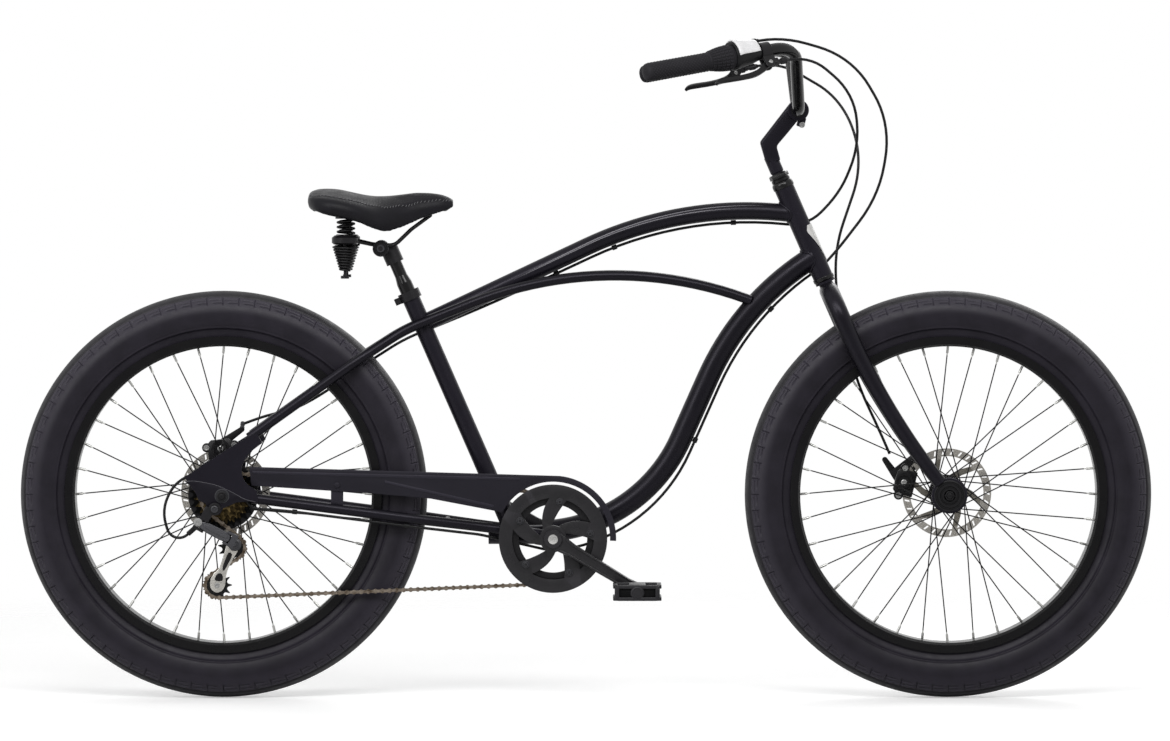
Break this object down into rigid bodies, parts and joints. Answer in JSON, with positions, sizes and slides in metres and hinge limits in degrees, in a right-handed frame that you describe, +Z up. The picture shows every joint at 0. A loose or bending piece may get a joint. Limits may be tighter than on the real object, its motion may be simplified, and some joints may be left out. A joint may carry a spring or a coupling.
{
  "type": "bicycle",
  "caption": "Cruiser bicycle with a curved steel frame, wide balloon tyres, disc brakes, swept handlebar, sprung saddle and derailleur chain drive.",
  "frame": {"origin": "on the ground, halfway between the two hubs, in the bicycle's middle plane", "axes": "+X towards the front wheel, +Y to the rider's left, +Z up"},
  "size_m": [2.0299, 0.7, 1.1865],
  "materials": {
    "frame_paint": "satin black paint",
    "black_metal": "black coating",
    "tyre_rubber": "matt black rubber",
    "soft_rubber": "matt",
    "bright_steel": "brushed",
    "chain_steel": "oiled",
    "spring_steel": "black coated wire",
    "moulded_plastic": "moulded",
    "saddle_vinyl": "grained vinyl"
  },
  "bodies": {
    "frame": {"head_tube": "frame_paint", "top_tube": "frame_paint", "down_tube": "frame_paint", "seat_tube": "frame_paint", "bottom_bracket_shell": "frame_paint", "rear_stays": "frame_paint", "dropouts": "frame_paint", "bearing_cups": "black_metal", "seat_clamp": "black_metal", "chain_guard": "frame_paint", "rear_axle": "black_metal", "rear_caliper": "black_metal", "derailleur_base": "black_metal", "chain": "chain_steel", "control_cables": "soft_rubber", "cable_clips": "moulded_plastic"},
    "steering": {"fork": "frame_paint", "stem": "black_metal", "handlebar": "black_metal", "grips": "soft_rubber", "shifter_housing": "moulded_plastic", "lever_brackets": "black_metal", "front_axle": "black_metal", "front_caliper": "black_metal", "front_brake_cable": "soft_rubber"},
    "front_wheel": {"front_tyre": "tyre_rubber", "front_inner_tube": "soft_rubber", "front_rim": "black_metal", "front_spokes": "black_metal", "front_hub": "black_metal", "front_rotor": "bright_steel"},
    "rear_wheel": {"rear_tyre": "tyre_rubber", "rear_inner_tube": "soft_rubber", "rear_rim": "black_metal", "rear_spokes": "black_metal", "rear_hub": "black_metal", "rear_rotor": "bright_steel"},
    "freewheel": {"freewheel_cogs": "chain_steel"},
    "crankset": {"chainring": "chain_steel", "guard_ring": "black_metal", "cranks": "black_metal", "crank_axles": "black_metal"},
    "right_pedal": {"right_pedal": "moulded_plastic"},
    "left_pedal": {"left_pedal": "moulded_plastic"},
    "right_lever": {"right_brake_lever": "black_metal"},
    "left_lever": {"left_brake_lever": "black_metal"},
    "rear_arm": {"rear_caliper_arm": "bright_steel"},
    "front_arm": {"front_caliper_arm": "bright_steel"},
    "shift_sleeve": {"twist_grip": "soft_rubber"},
    "outer_link": {"derailleur_outer_link": "black_metal"},
    "inner_link": {"derailleur_inner_link": "black_metal"},
    "knuckle": {"derailleur_knuckle": "black_metal"},
    "cage": {"derailleur_cage": "bright_steel"},
    "guide_wheel": {"guide_pulley": "moulded_plastic"},
    "tension_wheel": {"tension_pulley": "moulded_plastic"},
    "post": {"seat_post": "black_metal", "saddle_rails": "black_metal", "saddle_springs": "spring_steel"},
    "saddle": {"saddle_base": "moulded_plastic", "saddle_cover": "saddle_vinyl"}
  },
  "joints": [
    {"name": "steer", "type": "hinge", "parent": "frame", "child": "steering", "pos_m": [0.42495, 0, 0.75524], "axis": [-0.4003, 0, 0.9164], "range_deg": [-60, 60], "deforming": ["control_cables"]},
    {"name": "front_wheel_spin", "type": "hinge", "parent": "steering", "child": "front_wheel", "pos_m": [0.65, 0, 0.365], "axis": [0, 1, 0], "continuous": true},
    {"name": "rear_wheel_spin", "type": "hinge", "parent": "frame", "child": "rear_wheel", "pos_m": [-0.65, 0, 0.365], "axis": [0, 1, 0], "continuous": true},
    {"name": "crank_spin", "type": "hinge", "parent": "frame", "child": "crankset", "pos_m": [-0.059, 0, 0.288], "axis": [0, 1, 0], "continuous": true, "deforming": ["chain"]},
    {"name": "freewheel_spin", "type": "hinge", "parent": "frame", "child": "freewheel", "pos_m": [-0.65, 0, 0.365], "axis": [0, 1, 0], "continuous": true},
    {"name": "right_pedal_spin", "type": "hinge", "parent": "crankset", "child": "right_pedal", "pos_m": [0.091, -0.137, 0.19787], "axis": [0, 1, 0], "continuous": true},
    {"name": "left_pedal_spin", "type": "hinge", "parent": "crankset", "child": "left_pedal", "pos_m": [-0.209, 0.137, 0.37813], "axis": [0, 1, 0], "continuous": true},
    {"name": "right_lever_pull", "type": "hinge", "parent": "steering", "child": "right_lever", "pos_m": [0.32279, -0.23074, 1.1352], "axis": [0.3487, -0.7977, 0.4921], "range_deg": [-9, 0], "stiffness_Nm_per_rad": 2, "springref_deg": 8.59},
    {"name": "left_lever_pull", "type": "hinge", "parent": "steering", "child": "left_lever", "pos_m": [0.27726, 0.25575, 1.12692], "axis": [-0.3487, -0.7977, -0.4921], "range_deg": [-9, 0], "stiffness_Nm_per_rad": 2, "springref_deg": 8.59},
    {"name": "rear_arm_pull", "type": "hinge", "parent": "frame", "child": "rear_arm", "pos_m": [-0.65909, 0.078, 0.45152], "axis": [0, 1, 0], "range_deg": [-6, 0]},
    {"name": "front_arm_pull", "type": "hinge", "parent": "steering", "child": "front_arm", "pos_m": [0.56558, 0.066, 0.38605], "axis": [0, 1, 0], "range_deg": [-6, 0]},
    {"name": "shift_twist", "type": "hinge", "parent": "steering", "child": "shift_sleeve", "pos_m": [0.2333, -0.26511, 1.14289], "axis": [0.8656, 0.4754, 0.1574], "range_deg": [-75, 75]},
    {"name": "outer_link_swing", "type": "hinge", "parent": "frame", "child": "outer_link", "pos_m": [-0.683, -0.092, 0.313], "axis": [0.4721, 0, 0.8816], "range_deg": [-18.5, 18.5]},
    {"name": "inner_link_swing", "type": "hinge", "parent": "frame", "child": "inner_link", "pos_m": [-0.683, -0.078, 0.313], "axis": [0.4721, 0, 0.8816], "range_deg": [-18.5, 18.5]},
    {"name": "knuckle_swing", "type": "hinge", "parent": "outer_link", "child": "knuckle", "pos_m": [-0.63998, -0.084, 0.28996], "axis": [0.4721, 0, 0.8816], "range_deg": [-18.5, 18.5]},
    {"name": "cage_swing", "type": "hinge", "parent": "knuckle", "child": "cage", "pos_m": [-0.627, -0.075, 0.2785], "axis": [0, 1, 0], "range_deg": [-60, 20], "stiffness_Nm_per_rad": 1},
    {"name": "guide_pulley_spin", "type": "hinge", "parent": "cage", "child": "guide_wheel", "pos_m": [-0.63227, -0.056, 0.27206], "axis": [0, 1, 0], "continuous": true},
    {"name": "tension_pulley_spin", "type": "hinge", "parent": "cage", "child": "tension_wheel", "pos_m": [-0.65965, -0.056, 0.20423], "axis": [0, 1, 0], "continuous": true},
    {"name": "seat_height", "type": "slide", "parent": "frame", "child": "post", "axis": [-0.4003, 0, 0.9164], "range_m": [-0.05, 0.08]},
    {"name": "saddle_spring", "type": "hinge", "parent": "post", "child": "saddle", "pos_m": [-0.2796, 0, 0.86508], "axis": [0, 1, 0], "range_deg": [-4, 0], "stiffness_Nm_per_rad": 1000, "deforming": ["saddle_springs"]}
  ],
  "couplings": [
    {"joint": "freewheel_spin", "follows": "crank_spin", "ratio": 2},
    {"joint": "guide_pulley_spin", "follows": "crank_spin", "ratio": -3.6364},
    {"joint": "tension_pulley_spin", "follows": "crank_spin", "ratio": 3.6364},
    {"joint": "rear_arm_pull", "follows": "right_lever_pull", "ratio": 0.55},
    {"joint": "front_arm_pull", "follows": "left_lever_pull", "ratio": 0.55},
    {"joint": "outer_link_swing", "follows": "shift_twist", "ratio": 0.24},
    {"joint": "inner_link_swing", "follows": "shift_twist", "ratio": 0.24},
    {"joint": "knuckle_swing", "follows": "shift_twist", "ratio": -0.24}
  ]
}
